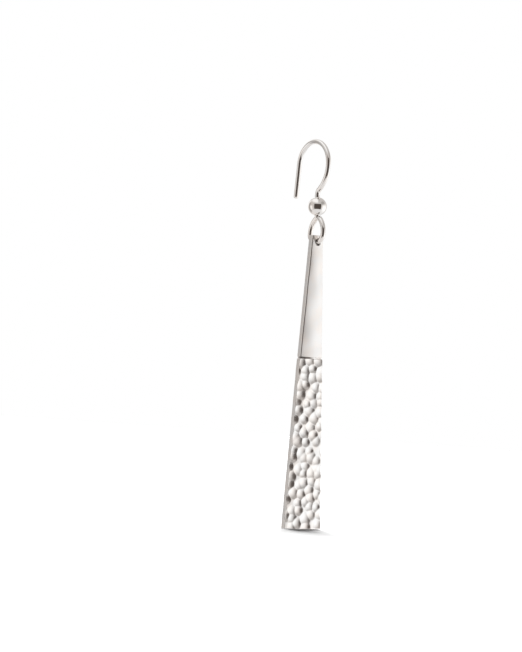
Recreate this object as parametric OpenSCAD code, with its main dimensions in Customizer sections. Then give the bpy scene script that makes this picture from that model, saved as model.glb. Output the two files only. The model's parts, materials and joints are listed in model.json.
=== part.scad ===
// Dangle earring: an ear wire with a closed loop, a ball bead on the wire, and a long tapered silver bar
// that swings on the loop. The bar's upper part is plain and polished, its lower part is hammered.
// The frame's origin is under the top of the arch, where the wire rests in the ear. +Z is up, and the
// bar's hammered face looks along -Y. The loop hangs plumb, and the hook leans back from the loop's point.

/* [Ear wire] */
// Diameter of the round wire
wire_d = 0.8; // [0.7:0.05:0.85]
// Radius of the arch over the ear, at the wire's centre
arch_r = 3.7; // [3.3:0.1:4.1]
// Radius of the front of the hook, under its widest point
front_r = 4.8; // [4.4:0.1:5.2]
// Radius of the small bend above the bead
neck_r = 1.2; // [0.8:0.1:1.6]
// How far the hook's front stands before the bead's axis
front_out = 2.8; // [2.4:0.1:3.2]
// Height of the hook's widest point over the loop's point
front_h = 8.5; // [8:0.1:9.4]
// Angle over level at which the arch ends, which flares the back leg by as much
leg_flare = 10; // [0:1:14]
// Length of the straight back leg behind the ear
leg_len = 5.2; // [3:0.1:8]
// Backward lean of the hook from the loop's point
wire_lean = 5; // [0:0.5:8]

/* [Loop] */
// Height from the loop's bottom to its point under the bead
loop_h = 3.95; // [3.85:0.05:4.15]
// Radius of the loop's bottom, at the wire's centre
bottom_r = 2.0; // [1.8:0.05:2.2]
// Radius of the bend between the bottom and the back limb
back_bend_r = 0.9; // [0.8:0.05:1.1]
// Radius of the bend between the bottom and the front limb
front_bend_r = 1.4; // [1.3:0.05:1.5]
// Radius of the front limb's long bend, which leads back to the stem
front_limb_r = 3.0; // [2.9:0.05:3.1]
// How far the front limb turns from upright before it is cut, a little short of the stem
front_limb_turn = 53.5; // [50:0.5:53.5]

/* [Ball bead] */
// Diameter of the ball
bead_d = 3.0; // [2.6:0.1:3.1]
// Height of the ball's centre over the loop's point
bead_h = 1.7; // [1.7:0.05:2]
// Gap between the wire and the ball's drilled hole
bead_gap = 0.03; // [0.02:0.01:0.05]

/* [Drop bar] */
// Full length of the bar
bar_len = 46.3; // [40:0.1:52]
// Thickness of the bar
bar_t = 1.1; // [0.9:0.05:1.2]
// Width at the top
top_w = 2.1; // [2:0.1:2.6]
// Width at the score line, where the hammering starts
score_w = 4.4; // [3.8:0.1:5]
// Width at the bottom
end_w = 7.2; // [6:0.1:8]
// Length of the plain upper part
plain_len = 19.4; // [16:0.1:22]
// Diameter of the hole for the loop
hole_d = 1.1; // [1.08:0.02:1.3]
// Depth of the hole's centre under the top edge
hole_drop = 1.05; // [1:0.05:1.2]
// Bevel on the long edges of the face's plain part
face_bevel = 0.22; // [0.1:0.02:0.3]
// Bevel on the back's long edges
back_bevel = 0.12; // [0.05:0.01:0.2]
// Radius of the scored line's round bottom
score_r = 0.18; // [0.12:0.02:0.24]
// Depth of the scored line
score_depth = 0.12; // [0.08:0.01:0.16]

/* [Hammering] */
// Distance between neighbouring dimples
dimple_pitch = 1.7; // [1.4:0.05:1.9]
// Middle radius of the hammers' round faces
hammer_r = 1.7; // [1.5:0.1:2.1]
// Radius of the smallest hammer's face, as a share of the middle one
small_face = 0.75; // [0.7:0.05:1]
// Depth of a full blow
blow_depth = 0.34; // [0.24:0.01:0.36]
// Depth of the lightest blow, as a share of a full one
light_blow = 0.7; // [0.5:0.05:1]
// How far a blow strays from its even place, as a share of the pitch
stray = 0.34; // [0:0.02:0.4]

/* [Hidden] */
$fn = 64;

wire_r = wire_d / 2;
// Each length of wire stops this short of the next, inside a ball that stands this proud of the wire
short = 0.012;
joint_proud = 0.006;
silver = [0.86, 0.86, 0.87];

// Centres of the hook's arcs as [out to the back, up], from the loop's point
arch_c = [arch_r - front_out, front_h];
front_c = [front_r - front_out, front_h];
neck_c = [-neck_r, front_h - sqrt(pow(front_r + neck_r, 2) - pow(front_c[0] + neck_r, 2))];
// Where the neck's bend hands over to the front's, seen from either centre
turn_a = atan2(front_c[1] - neck_c[1], front_c[0] - neck_c[0]);

// How far from its lowest place the loop's bottom runs before each bend takes over
front_turn = 25;
back_turn = 40;
// Centres of the loop's bends, as [out to the back, up] from its point
bottom_c = [0, bottom_r - loop_h];
front_bend_c = bottom_c + (bottom_r - front_bend_r) * [-sin(front_turn), -cos(front_turn)];
back_bend_c = bottom_c + (bottom_r - back_bend_r) * [sin(back_turn), -cos(back_turn)];
front_limb_c = front_bend_c + [front_limb_r - front_bend_r, 0];
// The back limb's long bend runs from the loop's widest place at the back to its point
back_out = back_bend_c[0] + back_bend_r;
back_limb_r = (pow(back_out, 2) + pow(back_bend_c[1], 2)) / (2 * back_out);
back_limb_c = [back_out - back_limb_r, back_bend_c[1]];

// The loop's point under the bead, seen from the origin under the arch's top
tip_y = -(arch_c[0] * cos(wire_lean) + arch_c[1] * sin(wire_lean));
tip_z = -(arch_c[1] * cos(wire_lean) - arch_c[0] * sin(wire_lean) + arch_r - wire_r);
// The middle of the wire at the loop's bottom, on which the bar swings
pivot_z = tip_z - loop_h;

// How far up the loop's inner side passes the bar's faces, over the pivot
seat_up = bottom_r - sqrt(pow(bottom_r - wire_r, 2) - pow(bar_t / 2, 2));
// The top of the bar's hole hangs this far over the wire
seat_gap = 0.03;
hole_z = seat_up + seat_gap - hole_d / 2;
bar_top = hole_z + hole_drop;

// Half the bar's width at a depth under its top edge
function half_w(depth) = depth < plain_len
    ? (top_w + (score_w - top_w) * depth / plain_len) / 2
    : (score_w + (end_w - score_w) * (depth - plain_len) / (bar_len - plain_len)) / 2;

// A number from 0 to 1 for two whole numbers, which looks random and is always the same
function chance(a, b) = let (wave = 437.585 * sin(127.1 * a + 311.7 * b)) wave - floor(wave);

// Rows lie closer than the dimples in a row, because each row sits in the gaps of the last
row_closeness = 0.75;
row_count = round((bar_len - plain_len) / (row_closeness * dimple_pitch));
row_pitch = (bar_len - plain_len) / row_count;

// Blows as [sideways, depth under the top edge, depth of the blow, radius of the hammer], row by row
blows = [for (row = [0 : row_count - 1])
    let (depth = plain_len + (row + 0.5) * row_pitch, w = 2 * half_w(depth), odd = row % 2)
    let (columns = round(w / dimple_pitch))
    for (column = [0 : columns - 1 + odd])
        [(column + (1 - odd) / 2) * w / columns - w / 2
             + dimple_pitch * stray * (2 * chance(row, column) - 1),
         depth + row_pitch * stray * (2 * chance(row, column + 40) - 1),
         blow_depth * (light_blow + (1 - light_blow) * chance(row, column + 80)),
         hammer_r * (small_face + 2 * (1 - small_face) * chance(row, column + 120))]];

// Leans what stands on the loop's point back with the hook
module leaned() {
    translate([0, tip_y, tip_z])
        rotate([-wire_lean, 0, 0])
            children();
}

// A bend of wire round a centre [out to the back, up], from one angle over level to another
module bend(centre, r, from, to) {
    inset = short * 180 / PI / r;
    translate([0, centre[0], centre[1]])
        rotate([90, 0, 90])
            rotate([0, 0, from + inset])
                rotate_extrude(angle = to - from - 2 * inset)
                    translate([r, 0])
                        circle(r = wire_r);
}

// A straight length of wire between two points
module straight(start, end) {
    translate([0, start[0], start[1]])
        rotate([atan2(end[1] - start[1], end[0] - start[0]) - 90, 0, 0])
            cylinder(r = wire_r, h = norm(end - start) - short);
}

// A ball that carries the round wire across the place where two lengths meet
module joint(point) {
    translate([0, point[0], point[1]])
        sphere(r = wire_r + joint_proud);
}

// The loop: down the back limb, round the bottom and up the front limb to its cut end by the stem
module loop() {
    joint([0, 0]);
    bend(back_limb_c, back_limb_r, 0, atan2(-back_limb_c[1], -back_limb_c[0]));
    joint([back_out, back_bend_c[1]]);
    bend(back_bend_c, back_bend_r, 270 + back_turn, 360);
    joint(bottom_c + bottom_r * [sin(back_turn), -cos(back_turn)]);
    bend(bottom_c, bottom_r, 270 - front_turn, 270 + back_turn);
    joint(bottom_c + bottom_r * [-sin(front_turn), -cos(front_turn)]);
    bend(front_bend_c, front_bend_r, 180, 270 - front_turn);
    joint(front_bend_c - [front_bend_r, 0]);
    bend(front_limb_c, front_limb_r, 180 - front_limb_turn, 180);
}

// The stem through the bead, the bend above it, the hook's front, its arch and its back leg
module hook() {
    leg_start = arch_c + arch_r * [cos(leg_flare), sin(leg_flare)];
    leg_end = leg_start + leg_len * [sin(leg_flare), -cos(leg_flare)];
    straight([0, 0], [0, neck_c[1]]);
    joint([0, neck_c[1]]);
    bend(neck_c, neck_r, 0, turn_a);
    joint(neck_c + neck_r * [cos(turn_a), sin(turn_a)]);
    bend(front_c, front_r, 180, 180 + turn_a);
    joint([-front_out, front_h]);
    bend(arch_c, arch_r, leg_flare, 180);
    joint(leg_start);
    straight(leg_start, leg_end);
    joint(leg_end);
}

module ear_hook() {
    color(silver)
        union() {
            translate([0, tip_y, tip_z])
                loop();
            leaned()
                hook();
        }
}

module ball_bead() {
    color(silver)
        leaned()
            translate([0, 0, bead_h])
                difference() {
                    sphere(d = bead_d);
                    cylinder(r = wire_r + bead_gap, h = bead_d + 1, center = true);
                }
}

// The waste outside a 45 degree bevel along the long edge through a depth, whose half widths are given
module bevel_waste(side, face, depth, half, slope_a, size) {
    waste = 1;
    translate([side * half, face * bar_t / 2, -depth])
        rotate([0, -side * slope_a, 0])
            rotate([0, 0, side * face * 45])
                translate([side * (waste / 2 - size / sqrt(2)), 0, 0])
                    cube([waste, waste, 3 * bar_len], center = true);
}

// The bevels' waste along one face of one run of the bar, from its half width at two depths
module run_waste(face, from, to, size) {
    slope_a = atan((half_w(to) - half_w(from)) / (to - from));
    for (side = [-1, 1])
        bevel_waste(side, face, from, half_w(from), slope_a, size);
}

// The bar before it is scored and hammered, with its top edge at z = 0
module blank() {
    outline = [
        [-top_w / 2, 0], [-score_w / 2, -plain_len], [-end_w / 2, -bar_len],
        [end_w / 2, -bar_len], [score_w / 2, -plain_len], [top_w / 2, 0]];
    difference() {
        difference() {
            rotate([90, 0, 0])
                linear_extrude(height = bar_t, center = true)
                    polygon(outline);
            run_waste(1, 0, plain_len, back_bevel);
            intersection() {
                run_waste(-1, 0, plain_len, face_bevel);
                translate([-end_w, -bar_t, -plain_len])
                    cube([2 * end_w, bar_t, 2 * plain_len]);
            }
        }
        run_waste(1, plain_len, bar_len, back_bevel);
    }
}

// The scored line across the face and round both edges
module score_line() {
    sink = score_r - score_depth;
    translate([0, -bar_t / 2 - sink, -plain_len])
        rotate([0, 90, 0])
            cylinder(r = score_r, h = end_w, center = true);
    for (side = [-1, 1])
        translate([side * (score_w / 2 + sink), 0, -plain_len])
            rotate([90, 0, 0])
                cylinder(r = score_r, h = 2 * bar_t, center = true);
}

// One blow: the cap of the hammer's ball that goes into the face, kept under the scored line
module dimple(blow) {
    margin = 0.05;
    cap_r = sqrt(2 * blow[3] * blow[2] - pow(blow[2], 2)) + margin;
    difference() {
        translate([blow[0], -bar_t / 2 + blow[2], -blow[1]])
            rotate([90, 0, 0])
                intersection() {
                    translate([0, 0, blow[3]])
                        sphere(r = blow[3]);
                    cylinder(r = cap_r, h = 2 * blow[2]);
                }
        if (blow[1] - cap_r < plain_len)
            translate([-end_w, -2 * bar_t, -plain_len])
                cube([2 * end_w, 2 * bar_t, plain_len]);
    }
}

module drop_bar() {
    color(silver)
        translate([0, tip_y, pivot_z + bar_top])
            difference() {
                difference() {
                    blank();
                    translate([0, 0, -hole_drop])
                        rotate([90, 0, 0])
                            cylinder(r = hole_d / 2, h = 2 * bar_t, center = true);
                    score_line();
                }
                for (blow = blows)
                    dimple(blow);
            }
}

ear_hook();
ball_bead();
drop_bar();
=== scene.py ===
"""Looks of the dangle earring.

A silver ear wire with a ball carries a long tapered bar, which is plain above and hammered below.
"""
import json
import math

import bmesh
import bpy
import numpy as np
from mathutils import Matrix, Vector


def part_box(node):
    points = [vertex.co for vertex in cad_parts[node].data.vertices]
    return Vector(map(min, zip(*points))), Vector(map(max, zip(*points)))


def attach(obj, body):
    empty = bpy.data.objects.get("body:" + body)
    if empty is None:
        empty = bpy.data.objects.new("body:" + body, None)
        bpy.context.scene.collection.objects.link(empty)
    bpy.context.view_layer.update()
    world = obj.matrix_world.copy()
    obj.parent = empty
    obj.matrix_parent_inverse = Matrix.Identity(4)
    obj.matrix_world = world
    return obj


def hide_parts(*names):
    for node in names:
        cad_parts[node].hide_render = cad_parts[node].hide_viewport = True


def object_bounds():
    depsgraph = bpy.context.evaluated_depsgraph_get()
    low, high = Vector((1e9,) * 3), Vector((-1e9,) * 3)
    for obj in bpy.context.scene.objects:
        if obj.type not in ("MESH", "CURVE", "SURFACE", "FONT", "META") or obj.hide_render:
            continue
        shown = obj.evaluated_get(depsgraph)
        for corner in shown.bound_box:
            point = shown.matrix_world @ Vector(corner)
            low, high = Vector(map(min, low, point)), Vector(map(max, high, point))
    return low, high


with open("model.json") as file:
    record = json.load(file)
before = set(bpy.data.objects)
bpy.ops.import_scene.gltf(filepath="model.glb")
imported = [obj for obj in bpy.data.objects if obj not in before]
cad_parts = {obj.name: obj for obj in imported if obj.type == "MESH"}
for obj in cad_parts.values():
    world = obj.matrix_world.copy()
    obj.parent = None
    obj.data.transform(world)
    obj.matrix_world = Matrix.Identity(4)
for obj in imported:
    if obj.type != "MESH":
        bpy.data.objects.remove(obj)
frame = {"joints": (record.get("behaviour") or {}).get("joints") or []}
cad_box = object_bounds()

MM = 0.001
IMAGE_W, IMAGE_H = 522, 652
SENSOR = 36.0

# The ear wire and its loop, in millimetres. The hook's heights are over the loop's point under the ball
WIRE_R = 0.4
WIRE_LEAN = math.radians(5)
ARCH_R, FRONT_R, NECK_R = 3.7, 4.8, 1.2
FRONT_OUT, FRONT_H = 2.8, 8.5
LEG_FLARE, LEG_LEN = math.radians(10), 5.2
LOOP_H, BOTTOM_R = 3.95, 2.0
BACK_BEND_R, BACK_TURN = 0.9, math.radians(40)
FRONT_BEND_R, FRONT_TURN = 1.4, math.radians(25)
FRONT_LIMB_R, FRONT_LIMB_TURN = 3.0, math.radians(53.5)
STEM_BEND_R, CUT_BURR = 0.6, 0.1
WIRE_SIDES, WIRE_STEP, CUT_STEPS, TIP_STEPS = 40, 0.1, 4, 10

# The ball, in millimetres
BALL_R, BALL_H, BORE_R, BORE_LIP = 1.5, 1.7, 0.43, 0.08
BALL_SIDES, BALL_RINGS, LIP_STEPS, BORE_STEPS = 96, 60, 5, 8

# The bar, in millimetres
BAR_LEN, BAR_T = 46.3, 1.1
TOP_W, SCORE_W, END_W, PLAIN_LEN = 2.1, 4.4, 7.2, 19.4
HOLE_R, HOLE_DROP, HOLE_LIP = 0.55, 1.05, 0.03
FACE_ARRIS, HAMMERED_ARRIS, BACK_ARRIS, END_ARRIS = 0.15, 0.05, 0.12, 0.06
SCORE_R, SCORE_DEPTH = 0.18, 0.12
PLAIN_CROWN, HAMMERED_CROWN = math.radians(11.5), math.radians(5)

# The polishing waves, in millimetres: how deep they dip, and each wave's turn along, turn across and start
POLISH_DIP = 0.06
POLISH_WAVES = ((1.1, 0.9, 0), (0.63, -1.7, 1))

# The hammer's marks, in millimetres, polished down a little from the depth that the hammer left
DIMPLE_PITCH, HAMMER_R, BLOW_DEPTH = 1.7, 1.9, 0.31
RIDGE_SOFTNESS = 0.025
EDGE_SWELL, SWELL_REACH = 0.035, 0.45 * DIMPLE_PITCH

# How the blows scatter, as shares of the pitch, of the full depth and of the hammer's radius, and the
# numbers that keep their random draws apart
STRAY, ROW_CLOSENESS, LIGHT_BLOW, SMALL_FACE = 0.34, 0.75, 0.7, 0.75
SIDE_DRAW, DEPTH_DRAW, FORCE_DRAW, FACE_DRAW = 0, 40, 80, 120

# The bar's mesh: rings down its length, spans across it and sides of its hole. SCORE_REACH and SLIVER, the
# longest edge that is cleared away round the hole, are in millimetres
END_RINGS, PLAIN_RINGS, SCORE_RINGS, HAMMERED_RINGS, SCORE_REACH = 6, 95, 31, 330, 0.3
FRONT_SPANS, BACK_SPANS, SIDE_SPANS, ARRIS_SPANS = 92, 16, 5, 6
HOLE_SIDES, HOLE_LIP_STEPS, SLIVER = 72, 6, 0.001

# How much painted shade darkens the ball's bore, the bar's hole and the bar's scored line and lip, as shares
BORE_PAINTED_SHADE, HOLE_PAINTED_SHADE, LINE_PAINTED_SHADE, LIP_PAINTED_SHADE = 0.9, 0.6, 0.9, 0.6

# The light tent's cloth and its panels. Each panel has its place and its half size, as (bearing from the
# camera to the right, height over level), and the width of its soft edge, all in degrees, and its colour
TENT_CLOTH = (0.58, 0.55, 0.53)
TENT_PANELS = (
    ((0, -64), (180, 28), 8, (0.78, 0.76, 0.75)),           # the pale table all round
    ((180, -8), (22, 28), 14, (1.0, 1.0, 1.0)),             # a lamp behind the earring
    ((-156, 18), (34, 20), 16, (0.98, 0.97, 0.96)),         # a soft lamp behind and to the left
    ((-114, -8), (14, 34), 8, (0.36, 0.345, 0.335)),        # the grey that the bar's side mirrors
    ((-76, 68), (84, 24), 13, (0.99, 0.98, 0.97)),          # the bright ceiling to the left
    ((80, 32), (28, 16), 8, (0.38, 0.36, 0.345)),           # a grey panel high to the right
    ((-84, -13), (16, 18), 8, (0.97, 0.94, 0.92)),          # a lamp to the left
    ((100, -14), (35, 26), 22, (1.22, 1.22, 1.22)),         # the big lamp that the bar's face mirrors
    ((2.5, -3.5), (44.5, 31), 3, (0.075, 0.06, 0.052)))     # the dark opening towards the camera

# How brightly the tent lights what is matt, such as the floor
TENT_SPILL = 0.1

# The key light stands behind the earring. The floor falls a little to the right, and its sizes are in metres
KEY_ASIDE, KEY_HEIGHT, KEY_SPREAD, KEY_STRENGTH = math.radians(3), math.radians(60), math.radians(26), 5.0
FLOOR_FALL, FLOOR_GAP, FLOOR_HALF = 0.025, 0.03 * MM, 1.5

# A Mix node's sockets for colours
MIX_UNDER, MIX_OVER, MIX_RESULT = 6, 7, 2

# The loop's point under the ball, straight over the hinge in the loop's bottom, in millimetres
LOOP_POINT = Vector(frame["joints"][0]["pos_m"]) / MM + Vector((0, 0, LOOP_H))


def set_interface(group, inputs, outputs):
    """Gives a node group its named sockets, each as (name, kind, default or None)."""
    for name, kind, default in inputs:
        socket = group.interface.new_socket(name=name, in_out="INPUT", socket_type=kind)
        if default is not None:
            socket.default_value = default
    for name, kind in outputs:
        group.interface.new_socket(name=name, in_out="OUTPUT", socket_type=kind)


def calculate(tree, operation, first, second=None, third=None):
    """A Math node; each of its operands is a number or another node's output."""
    node = tree.nodes.new("ShaderNodeMath")
    node.operation = operation
    for socket, value in zip(node.inputs, (first, second, third)):
        if isinstance(value, bpy.types.NodeSocket):
            tree.links.new(value, socket)
        elif value is not None:
            socket.default_value = value
    return node.outputs[0]


def fade(tree, value, start, end):
    """A smooth step of a value, from 0 at start to 1 at end."""
    node = tree.nodes.new("ShaderNodeMapRange")
    node.interpolation_type = "SMOOTHSTEP"
    tree.links.new(value, node.inputs["Value"])
    node.inputs["From Min"].default_value = start
    node.inputs["From Max"].default_value = end
    return node.outputs["Result"]


# Camera at the photograph's place

def towards(bearing, height):
    """The direction at a bearing clockwise from +Y and a height over level."""
    level = math.cos(height)
    return Vector((level * math.sin(bearing), level * math.cos(bearing), math.sin(height)))


def photo_camera():
    """A camera that sees the ball where the photograph does. It gives back its heading."""
    heading, pitch, roll = math.radians(37), math.radians(1.6), math.radians(3.05)
    focal_px, distance = 2130.0, 337.0 * MM
    ball_px = (317.4, 206.5)
    ahead = towards(heading, pitch)
    level = Vector((math.cos(heading), -math.sin(heading), 0))
    upright = level.cross(ahead)
    right = level * math.cos(roll) + upright * math.sin(roll)
    up = upright * math.cos(roll) - level * math.sin(roll)
    low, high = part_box("ball_bead")
    ball = (low + high) / 2
    across = (ball_px[0] - IMAGE_W / 2) / focal_px
    above = (IMAGE_H / 2 - ball_px[1]) / focal_px
    data = bpy.data.cameras.new("photo_camera")
    data.sensor_width = SENSOR
    data.lens = focal_px * SENSOR / max(IMAGE_W, IMAGE_H)
    data.clip_start, data.clip_end = 0.01, 10.0
    camera = bpy.data.objects.new("photo_camera", data)
    turn = Matrix((right, up, -ahead)).transposed().to_4x4()
    place = ball - distance * (ahead + across * right + above * up)
    camera.matrix_world = Matrix.Translation(place) @ turn
    bpy.context.collection.objects.link(camera)
    bpy.context.scene.camera = camera
    return heading


# Studio: a white light tent with one dark opening towards the camera, a soft key light and a pale floor

def tent_panel(tree, beneath, bearing, height, place, half, edge, colour):
    """A soft-edged panel of the tent, laid over what is beneath it."""
    turned = calculate(tree, "WRAP", calculate(tree, "SUBTRACT", bearing, place[0]), 180, -180)
    aside = calculate(tree, "ABSOLUTE", turned)
    above = calculate(tree, "ABSOLUTE", calculate(tree, "SUBTRACT", height, place[1]))
    across = fade(tree, aside, half[0] + edge, half[0] - edge)
    upward = fade(tree, above, half[1] + edge, half[1] - edge)
    panel = tree.nodes.new("ShaderNodeMix")
    panel.data_type = "RGBA"
    tree.links.new(calculate(tree, "MULTIPLY", across, upward), panel.inputs["Factor"])
    tree.links.new(beneath, panel.inputs[MIX_UNDER])
    panel.inputs[MIX_OVER].default_value = (*colour, 1)
    return panel.outputs[MIX_RESULT]


def light_tent(heading):
    """White cloth round the earring, brighter where lamps stand behind it, and plain white to the camera."""
    world = bpy.data.worlds.new("light_tent")
    bpy.context.scene.world = world
    world.use_nodes = True
    tree = world.node_tree
    tree.nodes.clear()
    where = tree.nodes.new("ShaderNodeTexCoord")
    turned = tree.nodes.new("ShaderNodeVectorRotate")
    turned.rotation_type = "Z_AXIS"
    turned.inputs["Angle"].default_value = heading
    tree.links.new(where.outputs["Generated"], turned.inputs["Vector"])
    parts = tree.nodes.new("ShaderNodeSeparateXYZ")
    tree.links.new(turned.outputs[0], parts.inputs[0])
    nearer = calculate(tree, "MULTIPLY", parts.outputs["Y"], -1.0)
    bearing = calculate(tree, "DEGREES", calculate(tree, "ARCTAN2", parts.outputs["X"], nearer))
    height = calculate(tree, "DEGREES", calculate(tree, "ARCSINE", parts.outputs["Z"]))
    cloth = tree.nodes.new("ShaderNodeRGB")
    cloth.outputs[0].default_value = (*TENT_CLOTH, 1)
    seen = cloth.outputs[0]
    for place, half, edge, colour in TENT_PANELS:
        seen = tent_panel(tree, seen, bearing, height, place, half, edge, colour)
    tent = tree.nodes.new("ShaderNodeBackground")
    tree.links.new(seen, tent.inputs["Color"])
    spill = tree.nodes.new("ShaderNodeBackground")
    spill.inputs["Color"].default_value = (1, 1, 1, 1)
    spill.inputs["Strength"].default_value = TENT_SPILL
    backdrop = tree.nodes.new("ShaderNodeBackground")
    backdrop.inputs["Color"].default_value = (1, 1, 1, 1)
    ray = tree.nodes.new("ShaderNodeLightPath")
    matt = tree.nodes.new("ShaderNodeMixShader")
    tree.links.new(ray.outputs["Is Diffuse Ray"], matt.inputs[0])
    tree.links.new(tent.outputs[0], matt.inputs[1])
    tree.links.new(spill.outputs[0], matt.inputs[2])
    whole = tree.nodes.new("ShaderNodeMixShader")
    tree.links.new(ray.outputs["Is Camera Ray"], whole.inputs[0])
    tree.links.new(matt.outputs[0], whole.inputs[1])
    tree.links.new(backdrop.outputs[0], whole.inputs[2])
    output = tree.nodes.new("ShaderNodeOutputWorld")
    tree.links.new(whole.outputs[0], output.inputs["Surface"])


def key_light(heading):
    """A broad soft light high up behind the earring, which whitens the floor and throws a shadow forward."""
    data = bpy.data.lights.new("key_light", "SUN")
    data.energy = KEY_STRENGTH
    data.angle = KEY_SPREAD
    light = bpy.data.objects.new("key_light", data)
    light.rotation_euler = towards(heading - KEY_ASIDE, KEY_HEIGHT).to_track_quat("Z", "Y").to_euler()
    light.visible_glossy = False
    bpy.context.collection.objects.link(light)


def pale_floor():
    """The floor just under the bar's end, seen from above only."""
    level = cad_box[0].z - FLOOR_GAP
    fall = FLOOR_HALF * FLOOR_FALL
    corners = [(right * FLOOR_HALF, back * FLOOR_HALF, level - right * fall)
               for right, back in ((-1, -1), (1, -1), (1, 1), (-1, 1))]
    mesh = bpy.data.meshes.new("floor")
    mesh.from_pydata(corners, [], [(0, 1, 2, 3)])
    floor = bpy.data.objects.new("floor", mesh)
    floor.visible_glossy = False
    bpy.context.collection.objects.link(floor)
    material = bpy.data.materials.new("pale_floor")
    material.use_nodes = True
    tree = material.node_tree
    paint = tree.nodes["Principled BSDF"]
    paint.inputs["Base Color"].default_value = (0.9, 0.9, 0.9, 1)
    paint.inputs["Roughness"].default_value = 1.0
    paint.inputs["Specular IOR Level"].default_value = 0.0
    side = tree.nodes.new("ShaderNodeNewGeometry")
    clear = tree.nodes.new("ShaderNodeBsdfTransparent")
    pick = tree.nodes.new("ShaderNodeMixShader")
    tree.links.new(side.outputs["Backfacing"], pick.inputs[0])
    tree.links.new(paint.outputs[0], pick.inputs[1])
    tree.links.new(clear.outputs[0], pick.inputs[2])
    tree.links.new(pick.outputs[0], tree.nodes["Material Output"].inputs["Surface"])
    mesh.materials.append(material)


# Finishes

def silver_tone_and_shade_group():
    """Silver's colour, with faint warm and cool patches, and a dark colour mixed in as painted shade by a
    mask.
    """
    group = bpy.data.node_groups.new("silver_tone_and_shade", "ShaderNodeTree")
    set_interface(group, (("Vector", "NodeSocketVector", None), ("Painted shade", "NodeSocketFloat", 0.0),
                          ("Patches per mm", "NodeSocketFloat", 0.6),
                          ("Warm", "NodeSocketColor", (0.965, 0.925, 0.89, 1)),
                          ("Cool", "NodeSocketColor", (0.94, 0.935, 0.925, 1)),
                          ("Painted shade colour", "NodeSocketColor", (0.1, 0.08, 0.07, 1))),
                  (("Color", "NodeSocketColor"),))
    source = group.nodes.new("NodeGroupInput")
    result = group.nodes.new("NodeGroupOutput")
    per_metre = calculate(group, "MULTIPLY", source.outputs["Patches per mm"], 1 / MM)
    cool_under, warm_over = 0.35, 0.65
    patches = group.nodes.new("ShaderNodeTexNoise")
    patches.inputs["Detail"].default_value = 2.0
    group.links.new(source.outputs["Vector"], patches.inputs["Vector"])
    group.links.new(per_metre, patches.inputs["Scale"])
    blend = group.nodes.new("ShaderNodeMix")
    blend.data_type = "RGBA"
    group.links.new(fade(group, patches.outputs["Fac"], cool_under, warm_over), blend.inputs["Factor"])
    group.links.new(source.outputs["Cool"], blend.inputs[MIX_UNDER])
    group.links.new(source.outputs["Warm"], blend.inputs[MIX_OVER])
    # Painted shade: the mask mixes a dark colour into the silver's tone
    shaded = group.nodes.new("ShaderNodeMix")
    shaded.data_type = "RGBA"
    group.links.new(source.outputs["Painted shade"], shaded.inputs["Factor"])
    group.links.new(blend.outputs[MIX_RESULT], shaded.inputs[MIX_UNDER])
    group.links.new(source.outputs["Painted shade colour"], shaded.inputs[MIX_OVER])
    group.links.new(shaded.outputs[MIX_RESULT], result.inputs["Color"])
    return group


def polish_group():
    """What the polishing wheel leaves: soft streaks along the piece, fine hairlines and duller patches."""
    group = bpy.data.node_groups.new("polish_marks", "ShaderNodeTree")
    set_interface(group, (("Vector", "NodeSocketVector", None), ("Streaks per mm", "NodeSocketFloat", 2.0),
                          ("Streak length", "NodeSocketFloat", 12.0), ("Roughness", "NodeSocketFloat", 0.1),
                          ("Dullness", "NodeSocketFloat", 0.05)),
                  (("Height", "NodeSocketFloat"), ("Roughness", "NodeSocketFloat")))
    source = group.nodes.new("NodeGroupInput")
    result = group.nodes.new("NodeGroupOutput")
    per_metre = calculate(group, "MULTIPLY", source.outputs["Streaks per mm"], 1 / MM)
    along = calculate(group, "DIVIDE", per_metre, source.outputs["Streak length"])
    stretch = group.nodes.new("ShaderNodeCombineXYZ")
    group.links.new(per_metre, stretch.inputs["X"])
    group.links.new(per_metre, stretch.inputs["Y"])
    group.links.new(along, stretch.inputs["Z"])
    stretched = group.nodes.new("ShaderNodeVectorMath")
    stretched.operation = "MULTIPLY"
    group.links.new(source.outputs["Vector"], stretched.inputs[0])
    group.links.new(stretch.outputs[0], stretched.inputs[1])
    streaks = group.nodes.new("ShaderNodeTexNoise")
    streaks.inputs["Scale"].default_value = 1.0
    streaks.inputs["Detail"].default_value = 3.0
    group.links.new(stretched.outputs[0], streaks.inputs["Vector"])
    hairlines = group.nodes.new("ShaderNodeTexNoise")
    hairlines.inputs["Scale"].default_value = 6.0
    hairlines.inputs["Detail"].default_value = 1.0
    group.links.new(stretched.outputs[0], hairlines.inputs["Vector"])
    fineness = 0.12
    height = calculate(group, "MULTIPLY_ADD", hairlines.outputs["Fac"], fineness, streaks.outputs["Fac"])
    group.links.new(height, result.inputs["Height"])
    dull = calculate(group, "MULTIPLY", streaks.outputs["Fac"], source.outputs["Dullness"])
    group.links.new(calculate(group, "ADD", dull, source.outputs["Roughness"]), result.inputs["Roughness"])
    return group


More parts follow.
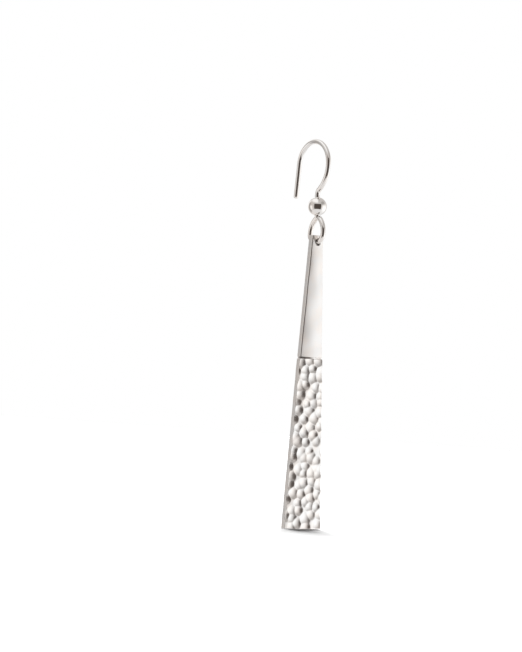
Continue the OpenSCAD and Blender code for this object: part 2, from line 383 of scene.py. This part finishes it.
def silver(name, groups, values, bump_mm):
    """A silver finish from the shared groups, with its own values for them and its own depth of marks."""
    material = bpy.data.materials.new(name)
    material.use_nodes = True
    tree = material.node_tree
    metal = tree.nodes["Principled BSDF"]
    metal.inputs["Metallic"].default_value = 1.0
    where = tree.nodes.new("ShaderNodeTexCoord")
    # Each piece's painted shade mask, a share at each point
    painted_shade = tree.nodes.new("ShaderNodeAttribute")
    painted_shade.attribute_name = "painted_shade"
    for group in groups:
        node = tree.nodes.new("ShaderNodeGroup")
        node.node_tree = group
        tree.links.new(where.outputs["Object"], node.inputs["Vector"])
        if "Painted shade" in node.inputs:
            tree.links.new(painted_shade.outputs["Fac"], node.inputs["Painted shade"])
        for socket in node.inputs:
            if socket.name in values:
                socket.default_value = values[socket.name]
        if "Color" in node.outputs:
            tree.links.new(node.outputs["Color"], metal.inputs["Base Color"])
            continue
        tree.links.new(node.outputs["Roughness"], metal.inputs["Roughness"])
        bump = tree.nodes.new("ShaderNodeBump")
        bump.inputs["Strength"].default_value = 1.0
        bump.inputs["Distance"].default_value = bump_mm * MM
        tree.links.new(node.outputs["Height"], bump.inputs["Height"])
        tree.links.new(bump.outputs["Normal"], metal.inputs["Normal"])
    return material


# Shapes

def new_piece(name, points, faces, material):
    """A smooth mesh from points in millimetres, in the part's frame."""
    mesh = bpy.data.meshes.new(name)
    mesh.from_pydata([tuple(point) for point in np.asarray(points) * MM], [], faces)
    mesh.validate()
    mesh.shade_smooth()
    mesh.materials.append(material)
    piece = bpy.data.objects.new(name, mesh)
    bpy.context.collection.objects.link(piece)
    return piece


def quarter_turn(steps):
    """Angles from nothing to a right angle, in even steps."""
    return np.linspace(0, math.pi / 2, steps + 1)


def whole_turn(sides):
    """Angles once round, one for each side."""
    return np.linspace(0, 2 * math.pi, sides, endpoint=False)


def skin(rings, size, joined=False):
    """Faces from each ring of points to the next one, and where joined, from the last to the first."""
    faces = []
    for ring in range(rings if joined else rings - 1):
        here, there = ring * size, (ring + 1) % rings * size
        for side in range(size):
            beside = (side + 1) % size
            faces.append((here + side, here + beside, there + beside, there + side))
    return faces


def closed_skin(rings, size):
    """The skin of a column of rings that run round the other way, with a flat face on each end."""
    faces = [(first, fourth, third, second) for first, second, third, fourth in skin(rings, size)]
    faces.append(tuple(range(size)))
    faces.append(tuple(reversed(range((rings - 1) * size, rings * size))))
    return faces


def paint_shade(piece, share):
    """Marks how much painted shade darkens each point of a piece, from its place in millimetres."""
    mesh = piece.data
    places = np.empty(3 * len(mesh.vertices))
    mesh.vertices.foreach_get("co", places)
    values = np.broadcast_to(share(places.reshape(-1, 3) / MM), len(mesh.vertices))
    painted_shade = mesh.attributes.new("painted_shade", "FLOAT", "POINT")
    painted_shade.data.foreach_set("value", np.ascontiguousarray(values, dtype=np.float32))


def leaned(points):
    """Points of the hook's plane, [out to the back, up] from the loop's point, leaned back with the hook."""
    out, up = np.asarray(points, float).T
    return np.stack([out * math.cos(WIRE_LEAN) + up * math.sin(WIRE_LEAN),
                     up * math.cos(WIRE_LEAN) - out * math.sin(WIRE_LEAN)], axis=-1)


def arc(centre, radius, start, end):
    """Points round a centre in the wire's plane, between two angles over level."""
    count = max(3, math.ceil(abs(end - start) * radius / WIRE_STEP))
    angles = np.linspace(start, end, count + 1)
    return np.asarray(centre) + radius * np.stack([np.cos(angles), np.sin(angles)], axis=1)


def line(start, end):
    """Points along a straight length of the wire."""
    start, end = np.asarray(start, float), np.asarray(end, float)
    count = max(2, math.ceil(np.linalg.norm(end - start) / WIRE_STEP))
    return start + (end - start) * np.linspace(0, 1, count + 1)[:, None]


def loop_route():
    """The loop's lengths, from its cut end round to the bend into the stem, and where that bend ends."""
    bottom = np.array([0, BOTTOM_R - LOOP_H])
    front_bend = bottom - (BOTTOM_R - FRONT_BEND_R) * np.array([math.sin(FRONT_TURN), math.cos(FRONT_TURN)])
    back_bend = bottom + (BOTTOM_R - BACK_BEND_R) * np.array([math.sin(BACK_TURN), -math.cos(BACK_TURN)])
    front_limb = front_bend + (FRONT_LIMB_R - FRONT_BEND_R, 0)
    # The back limb's long bend is drawn through the loop's point
    back_out = back_bend[0] + BACK_BEND_R
    back_limb_r = (back_out ** 2 + back_bend[1] ** 2) / (2 * back_out)
    back_limb = np.array([back_out - back_limb_r, back_bend[1]])
    # A small bend leads from the back limb into the stem, and touches both
    aside = leaned((STEM_BEND_R, 0)) - back_limb
    along = aside @ leaned((0, 1))
    stem_start = math.sqrt(along ** 2 - aside @ aside + (back_limb_r + STEM_BEND_R) ** 2) - along
    stem_bend = leaned((STEM_BEND_R, stem_start))
    limb_turn = math.atan2(*(stem_bend - back_limb)[::-1])
    down = 1.5 * math.pi
    lengths = [
        arc(front_limb, FRONT_LIMB_R, math.pi - FRONT_LIMB_TURN, math.pi),
        arc(front_bend, FRONT_BEND_R, math.pi, down - FRONT_TURN),
        arc(bottom, BOTTOM_R, down - FRONT_TURN, down + BACK_TURN),
        arc(back_bend, BACK_BEND_R, down + BACK_TURN, 2 * math.pi),
        arc(back_limb, back_limb_r, 0, limb_turn),
        arc(stem_bend, STEM_BEND_R, math.pi + limb_turn, math.pi - WIRE_LEAN)]
    return lengths, stem_start


def wire_route():
    """The wire's centre line: round the loop, up through the ball and over the hook."""
    arch = np.array([ARCH_R - FRONT_OUT, FRONT_H])
    front = np.array([FRONT_R - FRONT_OUT, FRONT_H])
    neck = np.array([-NECK_R, FRONT_H - math.sqrt((FRONT_R + NECK_R) ** 2 - (front[0] + NECK_R) ** 2)])
    turn = math.atan2(front[1] - neck[1], front[0] - neck[0])
    loop_lengths, stem_start = loop_route()
    leg_start = arch + ARCH_R * np.array([math.cos(LEG_FLARE), math.sin(LEG_FLARE)])
    leg_end = leg_start + LEG_LEN * np.array([math.sin(LEG_FLARE), -math.cos(LEG_FLARE)])
    lengths = [
        *loop_lengths,
        leaned(line((0, stem_start), (0, neck[1]))),
        leaned(arc(neck, NECK_R, 0, turn)),
        leaned(arc(front, FRONT_R, math.pi + turn, math.pi)),
        leaned(arc(arch, ARCH_R, math.pi, LEG_FLARE)),
        leaned(line(leg_start, leg_end))]
    return np.concatenate([lengths[0]] + [length[1:] for length in lengths[1:]])


def ear_wire(material):
    """One length of round wire, cut square by the stem and filed round at the back leg's end."""
    route = wire_route()
    ways = np.gradient(route, axis=0)
    ways /= np.linalg.norm(ways, axis=1)[:, None]
    first_way, last_way = ways[0], ways[-1]
    # Each ring of the wire as its centre, the way it faces and its radius. The cut's edge is broken
    rings = [(route[0] + first_way * CUT_BURR * (1 - math.cos(angle)), first_way,
              WIRE_R - CUT_BURR * (1 - math.sin(angle))) for angle in quarter_turn(CUT_STEPS)[:-1]]
    rings += [(point, way, WIRE_R) for point, way in zip(route[1:], ways[1:])]
    rings += [(route[-1] + last_way * WIRE_R * math.sin(angle), last_way, WIRE_R * math.cos(angle))
              for angle in quarter_turn(TIP_STEPS)[1:-1]]
    points = []
    for middle, way, radius in rings:
        across = np.array([-way[1], way[0]])
        for turn in whole_turn(WIRE_SIDES):
            out, up = middle + across * radius * math.cos(turn)
            points.append((radius * math.sin(turn), out, up))
    faces = skin(len(rings), WIRE_SIDES)
    faces.append(tuple(reversed(range(WIRE_SIDES))))
    last = (len(rings) - 1) * WIRE_SIDES
    points.append((0, *(route[-1] + last_way * WIRE_R)))
    tip = len(points) - 1
    faces += [(last + side, last + (side + 1) % WIRE_SIDES, tip) for side in range(WIRE_SIDES)]
    wire = new_piece("ear_wire", np.array(points) + LOOP_POINT, faces, material)
    paint_shade(wire, lambda places: 0)
    return wire


def ball(material):
    """The ball, drilled through, with the hole's edges turned in."""
    rim = math.asin((BORE_R + BORE_LIP) / BALL_R)
    latitudes = np.linspace(math.pi / 2 - rim, rim - math.pi / 2, BALL_RINGS)
    outside = [(BALL_R * math.cos(latitude), BALL_R * math.sin(latitude)) for latitude in latitudes]
    edge_h = outside[0][1] - BORE_LIP
    turned_in = [(BORE_R + BORE_LIP * (1 - math.cos(angle)), edge_h + BORE_LIP * math.sin(angle))
                 for angle in quarter_turn(LIP_STEPS)[:-1]]
    bore = [(BORE_R, height) for height in np.linspace(-edge_h, edge_h, BORE_STEPS + 1)[1:-1]]
    profile = outside + [(radius, -height) for radius, height in reversed(turned_in)] + bore + turned_in
    points = [(radius * math.sin(turn), *leaned((radius * math.cos(turn), BALL_H + height)))
              for radius, height in profile for turn in whole_turn(BALL_SIDES)]
    faces = skin(len(profile), BALL_SIDES, joined=True)
    bead = new_piece("ball", np.array(points) + LOOP_POINT, faces, material)
    centre = np.array(LOOP_POINT) + (0, *leaned((0, BALL_H)))
    inner_r = BALL_R - 0.3 * BORE_LIP
    # Painted shade darkens the bore's wall inside the ball
    paint_shade(bead, lambda places: BORE_PAINTED_SHADE * (np.linalg.norm(places - centre, axis=1) < inner_r))
    return bead


def chance(row, draw):
    """A number from 0 to 1 for two whole numbers, which looks random and is always the same."""
    row_turn, draw_turn, scatter = 127.1, 311.7, 437.585
    wave = scatter * math.sin(math.radians(row_turn * row + draw_turn * draw))
    return wave - math.floor(wave)


def half_width(depth):
    """Half the bar's width at a depth under its top edge."""
    return np.interp(depth, [0, PLAIN_LEN, BAR_LEN], [TOP_W / 2, SCORE_W / 2, END_W / 2])


def hammer_blows():
    """The blows row by row, as [sideways, depth under the top edge, how far driven, hammer's radius]."""
    row_count = math.floor((BAR_LEN - PLAIN_LEN) / (ROW_CLOSENESS * DIMPLE_PITCH) + 0.5)
    row_pitch = (BAR_LEN - PLAIN_LEN) / row_count
    blows = []
    for row in range(row_count):
        depth = PLAIN_LEN + (row + 0.5) * row_pitch
        width = 2 * half_width(depth)
        odd = row % 2
        columns = math.floor(width / DIMPLE_PITCH + 0.5)
        for column in range(columns + odd):
            side = (column + (1 - odd) / 2) * width / columns - width / 2
            force = LIGHT_BLOW + (1 - LIGHT_BLOW) * chance(row, column + FORCE_DRAW)
            face = SMALL_FACE + 2 * (1 - SMALL_FACE) * chance(row, column + FACE_DRAW)
            blows.append((side + DIMPLE_PITCH * STRAY * (2 * chance(row, column + SIDE_DRAW) - 1),
                          depth + row_pitch * STRAY * (2 * chance(row, column + DEPTH_DRAW) - 1),
                          BLOW_DEPTH * force, HAMMER_R * face))
    return np.array(blows).T


def hammered_in(side, depth, blows):
    """How far the hammer has driven the face in, with the ridges between the dimples a little worn."""
    blow_side, blow_depth, driven, radius = blows
    away = np.minimum(np.hypot(side[..., None] - blow_side, depth[..., None] - blow_depth), radius)
    dimples = driven - radius + np.sqrt(radius ** 2 - away ** 2)
    faintest = -6
    worn = np.exp(np.maximum(dimples / RIDGE_SOFTNESS, faintest)).sum(axis=-1)
    worn -= len(driven) * math.exp(faintest)
    reach = np.clip((depth - PLAIN_LEN) / SCORE_R, 0, 1)
    return reach * RIDGE_SOFTNESS * np.log(1 + worn)


def polished_in(side, depth, start, end):
    """How far polishing has dipped a face, in slow waves that die out at its start and end."""
    share = min(1, max(0, min(depth - start, end - depth) / TOP_W))
    waves = [np.sin(along * depth + across * side + phase) for along, across, phase in POLISH_WAVES]
    return POLISH_DIP * share ** 2 * (3 - 2 * share) * (0.5 + 0.5 * sum(waves) / len(waves))


def scored_in(depth):
    """How deep the scored line is at a depth under the top edge."""
    off = np.minimum(np.abs(depth - PLAIN_LEN), SCORE_R)
    return np.maximum(np.sqrt(SCORE_R ** 2 - off ** 2) - (SCORE_R - SCORE_DEPTH), 0)


def swollen_out(depth, side, blows):
    """How far the blows near an edge have pushed it outwards."""
    blow_side, blow_depth = blows[:2]
    near = np.clip(1 - (half_width(blow_depth) - side * blow_side) / DIMPLE_PITCH, 0, 1)
    spread = np.exp(-((depth - blow_depth) / SWELL_REACH) ** 2)
    return EDGE_SWELL * (near * spread).sum() * min(1, max(0, (depth - PLAIN_LEN) / SCORE_R))


def rounding(distance, radius):
    """How far a rounded edge lies under the face at a distance in from it."""
    short = radius - np.clip(distance, 0, radius)
    return radius - np.sqrt(radius ** 2 - short ** 2)


def bar_depths():
    """The depths of the bar's rings of points: close at the ends, at the scored line and in the blows."""
    score_from, score_to = PLAIN_LEN - SCORE_REACH, PLAIN_LEN + SCORE_REACH
    end = END_ARRIS * (1 - np.cos(quarter_turn(END_RINGS - 1)))
    plain = np.linspace(END_ARRIS, score_from, PLAIN_RINGS)[1:]
    score = np.linspace(score_from, score_to, SCORE_RINGS)[1:]
    hammered = np.linspace(score_to, BAR_LEN - END_ARRIS, HAMMERED_RINGS)[1:]
    return np.concatenate([end, plain, score, hammered, BAR_LEN - end[::-1][1:]])


def across_bar(left, right, arris, spans):
    """Places across the bar from left to right, close together where the arrises are rounded."""
    inset = arris * (1 - np.cos(quarter_turn(ARRIS_SPANS)[:-1]))
    return np.concatenate([-left + inset, np.linspace(arris - left, right - arris, spans + 1),
                           right - inset[::-1]])


def bar_section(depth, blows):
    """One ring of the bar's points as [sideways, back], round from the front's left edge."""
    shrink = rounding(min(depth, BAR_LEN - depth), END_ARRIS)
    half = float(half_width(depth))
    notched = half - shrink - float(scored_in(depth))
    left = notched + swollen_out(depth, -1, blows)
    right = notched + swollen_out(depth, 1, blows)
    arris = FACE_ARRIS if depth < PLAIN_LEN else HAMMERED_ARRIS
    front_x = across_bar(left, right, arris, FRONT_SPANS)
    crown_slope = math.tan(PLAIN_CROWN if depth < PLAIN_LEN else HAMMERED_CROWN)
    crown = 0.5 * crown_slope * front_x ** 2 / half
    front_y = (shrink - BAR_T / 2 + crown + scored_in(depth)
               + hammered_in(front_x, np.full_like(front_x, depth), blows)
               + polished_in(front_x, depth, 0, PLAIN_LEN)
               + rounding(np.minimum(front_x + left, right - front_x), arris))
    back_x = across_bar(left, right, BACK_ARRIS, BACK_SPANS)
    back_dip = polished_in(back_x, depth, 2 * HOLE_DROP, BAR_LEN) * (1 - (back_x / (half + EDGE_SWELL)) ** 2)
    back_y = (BAR_T / 2 - shrink - np.maximum(back_dip, 0)
              - rounding(np.minimum(back_x + left, right - back_x), BACK_ARRIS))
    shares = np.linspace(0, 1, SIDE_SPANS + 1)[1:-1]
    right_side = [(right, front_y[-1] + (back_y[-1] - front_y[-1]) * share) for share in shares]
    left_side = [(-left, back_y[0] + (front_y[0] - back_y[0]) * share) for share in shares]
    return [*zip(front_x, front_y), *right_side, *zip(back_x[::-1], back_y[::-1]), *left_side]


def drill(piece, centre, material):
    """Drills the hole for the loop through the bar, with its edges a little rounded on both faces."""
    half = [(HOLE_R + HOLE_LIP * (1 - math.cos(angle)), BAR_T / 2 - HOLE_LIP * (1 - math.sin(angle)))
            for angle in quarter_turn(HOLE_LIP_STEPS)] + [(HOLE_R + HOLE_LIP, BAR_T)]
    profile = [(radius, -back) for radius, back in reversed(half)] + half
    points = [centre + (radius * math.cos(turn), back, radius * math.sin(turn))
              for radius, back in profile for turn in whole_turn(HOLE_SIDES)]
    drill_bit = new_piece("drill_bit", points, closed_skin(len(profile), HOLE_SIDES), material)
    cut = piece.modifiers.new("hole", "BOOLEAN")
    cut.operation = "DIFFERENCE"
    cut.solver = "EXACT"
    cut.object = drill_bit
    bpy.context.view_layer.update()
    drilled = bpy.data.meshes.new_from_object(piece.evaluated_get(bpy.context.evaluated_depsgraph_get()))
    piece.modifiers.remove(cut)
    shape = bmesh.new()
    shape.from_mesh(drilled)
    bmesh.ops.dissolve_degenerate(shape, edges=shape.edges, dist=SLIVER * MM)
    shape.to_mesh(drilled)
    shape.free()
    piece.data = drilled
    bpy.data.objects.remove(drill_bit)


def long_bar(material):
    """The bar as rings of points round its section, with a drilled hole in its top."""
    blows = hammer_blows()
    depths = bar_depths()
    rings = [bar_section(depth, blows) for depth in depths]
    low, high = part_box("drop_bar")
    middle = (low + high) / 2 / MM
    place = np.array([middle.x, middle.y, high.z / MM])
    points = [place + (x, y, -depth) for ring, depth in zip(rings, depths) for x, y in ring]
    bar = new_piece("hammered_bar", points, closed_skin(len(rings), len(rings[0])), material)
    hole = place + (0, 0, -HOLE_DROP)
    drill(bar, hole, material)

    def painted_shade_places(places):
        """Painted shade in the hole's wall, and in the scored line at its left end and on its lower lip at
        the right.
        """
        side, back, height = (places - place).T
        depth = -height
        lip_at, lip_width, end_fade = PLAIN_LEN + 0.8 * SCORE_R, 0.2 * SCORE_R, 0.2 * SCORE_W
        in_hole = np.hypot(*(places - hole)[:, ::2].T) < HOLE_R + 0.4 * HOLE_LIP
        in_line = np.clip(1.4 * scored_in(depth) / SCORE_DEPTH, 0, 1)
        left_end = np.clip(0.5 - side / end_fade, 0, 1)
        lower_lip = np.exp(-((depth - lip_at) / lip_width) ** 2)
        # Painted shade along the scored line: dark at its left end, and on its lower lip to the right
        line_shade = LINE_PAINTED_SHADE * in_line * left_end + LIP_PAINTED_SHADE * lower_lip * (1 - left_end)
        # The line's painted shade fades out on the bar's edges, and its back has none
        off_back = np.clip(0.7 - back / (BAR_T / 2), 0, 1)
        return np.maximum(HOLE_PAINTED_SHADE * in_hole, line_shade * off_back)

    paint_shade(bar, painted_shade_places)
    return bar


# The scene and its light

heading = photo_camera()
light_tent(heading)
key_light(heading)
pale_floor()
bpy.context.scene.view_settings.view_transform = "Standard"

# The three finishes

shared = (silver_tone_and_shade_group(), polish_group())
wire_finish = silver("polished_wire", shared, bump_mm=0.0005, values={
    "Streaks per mm": 1.5, "Streak length": 3.0, "Roughness": 0.14, "Dullness": 0.04})
ball_finish = silver("polished_ball", shared, bump_mm=0.0004, values={
    "Streaks per mm": 1.2, "Streak length": 1.0, "Roughness": 0.04, "Dullness": 0.04})
bar_finish = silver("hammered_silver", shared, bump_mm=0.0015, values={
    "Streaks per mm": 2.0, "Streak length": 10.0, "Roughness": 0.27, "Dullness": 0.07})

# The three pieces, each with the node that it replaces, its body and its material slot

pieces = (("ear_hook", ear_wire(wire_finish), "ear_wire", "polished_silver"),
          ("ball_bead", ball(ball_finish), "ear_wire", "polished_silver"),
          ("drop_bar", long_bar(bar_finish), "hanging_bar", "hammered_silver"))
for node, piece, body, slot in pieces:
    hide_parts(node)
    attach(piece, body)
